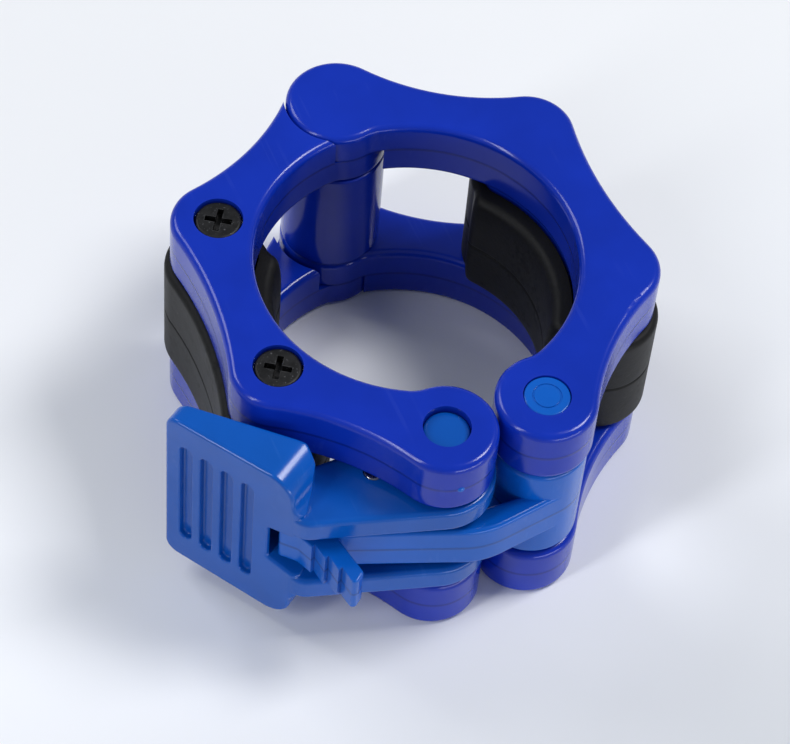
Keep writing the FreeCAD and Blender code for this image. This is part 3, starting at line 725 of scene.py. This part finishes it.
LOBE_CENTRE = (-8.75 * mm, -33.45 * mm)
LOBE_RADIUS = 8.5 * mm
BEAD_BEARING = math.radians(-95.0)
BEAD_LEVEL = 17.6 * mm
BEAD_RADIUS = 0.62 * mm
BEAD_HEIGHT = 0.34 * mm
BEAD_ROOT = 0.25 * mm


def dome(radius, height, root, rings=10, sides=28):
    """A low dome as rings about x, closed by a small cap: x = height times one less the ring's
    relative radius squared, and a skirt that goes down behind the wall by the root."""
    smallest_ring = 0.05
    reach = np.concatenate([[1.0], np.linspace(1.0, smallest_ring, rings)])
    rise = np.concatenate([[-root], height * (1 - reach[1:] ** 2)])
    turn = np.linspace(0, math.tau, sides, endpoint=False)
    x = np.broadcast_to(rise[:, None], (len(reach), sides))
    y = radius * reach[:, None] * np.cos(turn)
    z = radius * reach[:, None] * np.sin(turn)
    return np.stack([x, y, z], axis=2)


bead_grid = dome(BEAD_RADIUS, BEAD_HEIGHT, BEAD_ROOT)
out_of_wall = np.array([math.cos(BEAD_BEARING), math.sin(BEAD_BEARING), 0.0])
along_wall = np.array([-out_of_wall[1], out_of_wall[0], 0.0])
seat = np.array([*LOBE_CENTRE, BEAD_LEVEL]) + out_of_wall * LOBE_RADIUS
bead_points = (seat + bead_grid[..., :1] * out_of_wall + bead_grid[..., 1:2] * along_wall
               + bead_grid[..., 2:] * np.array([0.0, 0.0, 1.0]))
rows, columns = bead_grid.shape[:2]
bead_faces = grid_faces(rows, columns, False, True).tolist()
bead_faces += [list(range(columns))[::-1], [(rows - 1) * columns + k for k in range(columns)]]
bead = mesh_object("stray_bead", bead_points, bead_faces)
bead.data.materials.append(link_plastic)
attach(bead, "lever_jaw")

# %% [markdown]
# ## Floor, light and camera
# The collar stands on a sheet of pale paper that turns up into a round backdrop, so that every side
# view meets a quiet background. The paper's colour is painted darker in front of the latch, where
# the photograph has it so, and a little darker at the back: painted shade for the fall of the
# light, while the lamps over it stay at a plain level.

# %% Lay the floor

FLOOR_RADIUS = 1.6
WALL_RISE = 0.5
FLOOR_BEND = 0.45
FLAT_RINGS = [0.02, 0.2, 0.6]     # radii of the rings on the flat part


def dish(radius, rise, bend, count=96):
    """A floor of revolution: flat to the bend, a quarter circle, then a wall of the given rise."""
    arc = np.linspace(0, math.pi / 2, 16)
    reach = np.concatenate([FLAT_RINGS, [radius - bend], radius - bend + bend * np.sin(arc[1:]),
                            [radius]])
    height = np.concatenate([np.zeros(len(FLAT_RINGS) + 1), bend - bend * np.cos(arc[1:]), [rise]])
    angle = np.linspace(0, math.tau, count, endpoint=False)
    ring = np.stack([np.cos(angle), np.sin(angle)], axis=1)
    plan = reach[:, None, None] * ring[None, :, :]
    z = np.broadcast_to(height[:, None, None], plan.shape[:2] + (1,))
    return np.concatenate([plan, z], axis=2)


# The paper's tones are painted shade: darker in front and a little darker at the back, for the fall
# of the light over it.
PAPER_SHADE_TONES = (                   # how far back the paper has each tone
    (-0.12, (0.57, 0.59, 0.62, 1.0)),
    (-0.02, (0.88, 0.895, 0.925, 1.0)),
    (0.08, (0.835, 0.845, 0.86, 1.0)))
PAPER_ROUGHNESS = 0.65
floor_grid = dish(FLOOR_RADIUS, WALL_RISE, FLOOR_BEND) - np.array([0, 0, rim_top])
floor = mesh_object("studio_floor", floor_grid, grid_faces(*floor_grid.shape[:2], False, True))
centre_disc = bpy.data.meshes.new("studio_floor_middle")
ring = floor_grid[0]
centre_disc.from_pydata(ring.tolist(), [], [list(range(len(ring)))])
middle = bpy.data.objects.new("studio_floor_middle", centre_disc)
bpy.context.scene.collection.objects.link(middle)
paper, tree, shader = new_material("studio_paper")
position = tree.nodes.new("ShaderNodeTexCoord").outputs["Object"]
split = tree.nodes.new("ShaderNodeSeparateXYZ")
wire(tree, position, split.inputs[0])
# Mixed by how far back a point lies: painted shade in front, the plain paper in the middle, a
# lighter painted shade at the back.
(near_y, near_shade_tone), (middle_y, middle_tone), (far_y, far_shade_tone) = PAPER_SHADE_TONES
nearer_shade = mix_colour(tree, ramp(tree, split.outputs["Y"], near_y, middle_y), near_shade_tone, middle_tone)
toned = mix_colour(tree, ramp(tree, split.outputs["Y"], middle_y, far_y), nearer_shade, far_shade_tone)
wire(tree, toned, shader.inputs["Base Color"])
shader.inputs["Roughness"].default_value = PAPER_ROUGHNESS
for part in (floor, middle):
    part.data.materials.append(paper)
print("floor %.1f m across" % (2 * FLOOR_RADIUS))

# %% [markdown]
# The photograph was lit in a bright room full of soft boxes. The key hangs high on the right and a
# weaker lamp behind keeps its shadow pale. A tall narrow one on the left draws thin glints along
# the rounded edges, and a low one in front lights the walls that face the viewer without reaching
# down into the bore. No lamp stands where the flat top would mirror it, so the top shows its full
# deep blue.

# %% Hang the lamps

WARM_WHITE = (1.0, 0.99, 0.98)
COOL_WHITE = (0.97, 0.98, 1.0)
PLAIN_WHITE = (0.98, 0.99, 1.0)
SKY_BLUE = (0.80, 0.88, 1.0, 1.0)
SKY_STRENGTH = 0.26


def soft_lamp(name, place, size, power, colour):
    """A soft lamp at a place, aimed at the collar: width and height in metres, power in watts."""
    data = bpy.data.lights.new(name, "AREA")
    data.shape = "RECTANGLE"
    data.size, data.size_y = size
    data.energy = power
    data.color = colour
    lamp = bpy.data.objects.new(name, data)
    lamp.location = place
    lamp.rotation_euler = (-Vector(place)).to_track_quat("-Z", "Y").to_euler()
    bpy.context.scene.collection.objects.link(lamp)


soft_lamp("key_lamp", (0.66, -0.08, 1.08), (0.4, 0.4), 9.0, WARM_WHITE)
soft_lamp("back_lamp", (-0.5, 0.75, 0.9), (0.5, 0.5), 4.5, COOL_WHITE)
soft_lamp("left_lamp", (-0.96, -0.23, 0.83), (0.16, 0.85), 5.0, COOL_WHITE)
soft_lamp("low_lamp", (0.30, -0.95, 0.07), (0.9, 0.18), 3.2, PLAIN_WHITE)
world = bpy.data.worlds.new("dim_sky")
world.use_nodes = True
sky = world.node_tree.nodes["Background"]
sky.inputs["Color"].default_value = SKY_BLUE
sky.inputs["Strength"].default_value = SKY_STRENGTH
bpy.context.scene.world = world
print("lamps:", len(bpy.data.lights))

# %% [markdown]
# A camera looks at the collar from the front left and from well above, as the photograph does,
# with a long lens that keeps the perspective calm. Its azimuth, elevation and roll were fitted to
# the outlines of the rims.

# %% Set the camera at the photograph's viewing angle

view_azimuth = math.radians(27.0)
view_elevation = math.radians(54.6)
view_roll = math.radians(5.6)
view_distance = 0.562
sensor_width = 36.0
lens_length = 150.0
aim = Vector((-0.004, -0.004, -0.003))
ahead = Vector((math.sin(view_azimuth) * math.cos(view_elevation),
                math.cos(view_azimuth) * math.cos(view_elevation), -math.sin(view_elevation)))
right = ahead.cross(Vector((0, 0, 1))).normalized()
upward = right.cross(ahead)
rolled_right = right * math.cos(view_roll) + upward * math.sin(view_roll)
rolled_up = upward * math.cos(view_roll) - right * math.sin(view_roll)
lens = bpy.data.cameras.new("camera")
lens.sensor_width = sensor_width
lens.lens = lens_length
camera = bpy.data.objects.new("camera", lens)
turn = Matrix((rolled_right, rolled_up, -ahead)).transposed().to_4x4()
camera.matrix_world = Matrix.Translation(aim - ahead * view_distance) @ turn
bpy.context.scene.collection.objects.link(camera)
bpy.context.scene.camera = camera
bpy.context.scene.view_settings.view_transform = "Standard"
print("camera %.0f mm away with a %.0f mm lens" % (view_distance / mm, lens_length))
